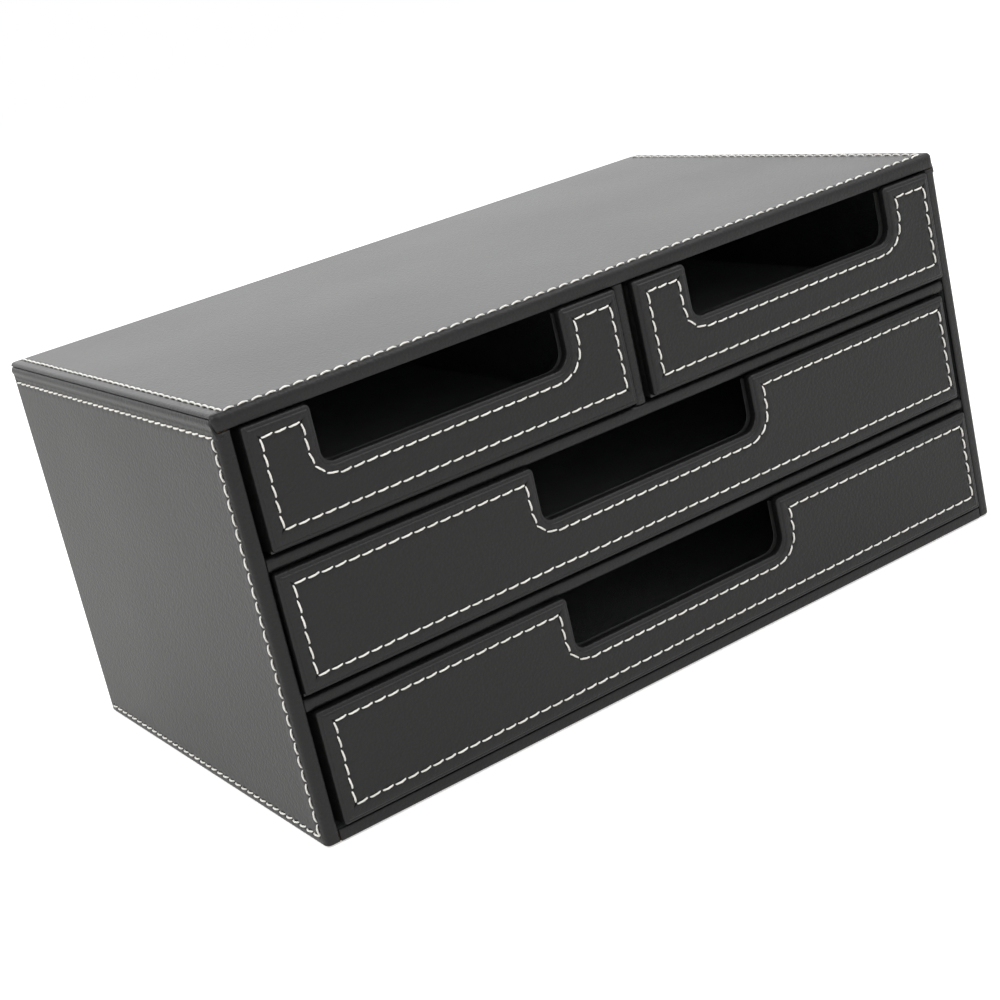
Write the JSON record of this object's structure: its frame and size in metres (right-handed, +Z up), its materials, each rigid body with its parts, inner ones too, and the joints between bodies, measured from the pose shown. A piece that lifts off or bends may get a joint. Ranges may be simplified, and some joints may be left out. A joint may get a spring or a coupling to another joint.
{
  "type": "desktop drawer organizer",
  "caption": "Small free-standing desk chest wrapped in black stitched leather, with two half-width drawers over two full-width drawers, each with a finger notch.",
  "frame": {"origin": "middle of the felt sheet under the chest, on the desk", "axes": "+X to the right along the width, +Y to the back, +Z up; the drawers slide out towards -Y"},
  "size_m": [0.255, 0.1546, 0.122],
  "materials": {
    "leather": "satin",
    "fibreboard": "matte",
    "tray_board": "matte",
    "lining": "matte",
    "felt": "matte",
    "thread": "satin"
  },
  "bodies": {
    "casing": {"top_board": "fibreboard", "base_board": "fibreboard", "left_side_board": "fibreboard", "right_side_board": "fibreboard", "back_board": "fibreboard", "upper_shelf_board": "fibreboard", "lower_shelf_board": "fibreboard", "divider_board": "fibreboard", "top_cover": "leather", "left_side_cover": "leather", "right_side_cover": "leather", "back_cover": "leather", "base_edge_cover": "leather", "upper_shelf_cover": "leather", "lower_shelf_cover": "leather", "divider_cover": "leather", "ceiling_lining": "lining", "floor_lining": "lining", "left_lining": "lining", "right_lining": "lining", "back_lining": "lining", "base_felt": "felt"},
    "top_left_drawer": {"top_left_drawer_front_panel": "fibreboard", "top_left_drawer_front_cover": "leather", "top_left_drawer_front_wall": "tray_board", "top_left_drawer_left_wall": "tray_board", "top_left_drawer_right_wall": "tray_board", "top_left_drawer_back_wall": "tray_board", "top_left_drawer_floor_board": "tray_board", "top_left_drawer_lining": "lining"},
    "top_right_drawer": {"top_right_drawer_front_panel": "fibreboard", "top_right_drawer_front_cover": "leather", "top_right_drawer_front_wall": "tray_board", "top_right_drawer_left_wall": "tray_board", "top_right_drawer_right_wall": "tray_board", "top_right_drawer_back_wall": "tray_board", "top_right_drawer_floor_board": "tray_board", "top_right_drawer_lining": "lining"},
    "middle_drawer": {"middle_drawer_front_panel": "fibreboard", "middle_drawer_front_cover": "leather", "middle_drawer_front_wall": "tray_board", "middle_drawer_left_wall": "tray_board", "middle_drawer_right_wall": "tray_board", "middle_drawer_back_wall": "tray_board", "middle_drawer_floor_board": "tray_board", "middle_drawer_lining": "lining"},
    "bottom_drawer": {"bottom_drawer_front_panel": "fibreboard", "bottom_drawer_front_cover": "leather", "bottom_drawer_front_wall": "tray_board", "bottom_drawer_left_wall": "tray_board", "bottom_drawer_right_wall": "tray_board", "bottom_drawer_back_wall": "tray_board", "bottom_drawer_floor_board": "tray_board", "bottom_drawer_lining": "lining"}
  },
  "joints": [
    {"name": "top_left_drawer_slide", "type": "slide", "parent": "casing", "child": "top_left_drawer", "axis": [0, -1, 0], "range_m": [0, 0.12]},
    {"name": "top_right_drawer_slide", "type": "slide", "parent": "casing", "child": "top_right_drawer", "axis": [0, -1, 0], "range_m": [0, 0.12]},
    {"name": "middle_drawer_slide", "type": "slide", "parent": "casing", "child": "middle_drawer", "axis": [0, -1, 0], "range_m": [0, 0.12]},
    {"name": "bottom_drawer_slide", "type": "slide", "parent": "casing", "child": "bottom_drawer", "axis": [0, -1, 0], "range_m": [0, 0.12]}
  ]
}
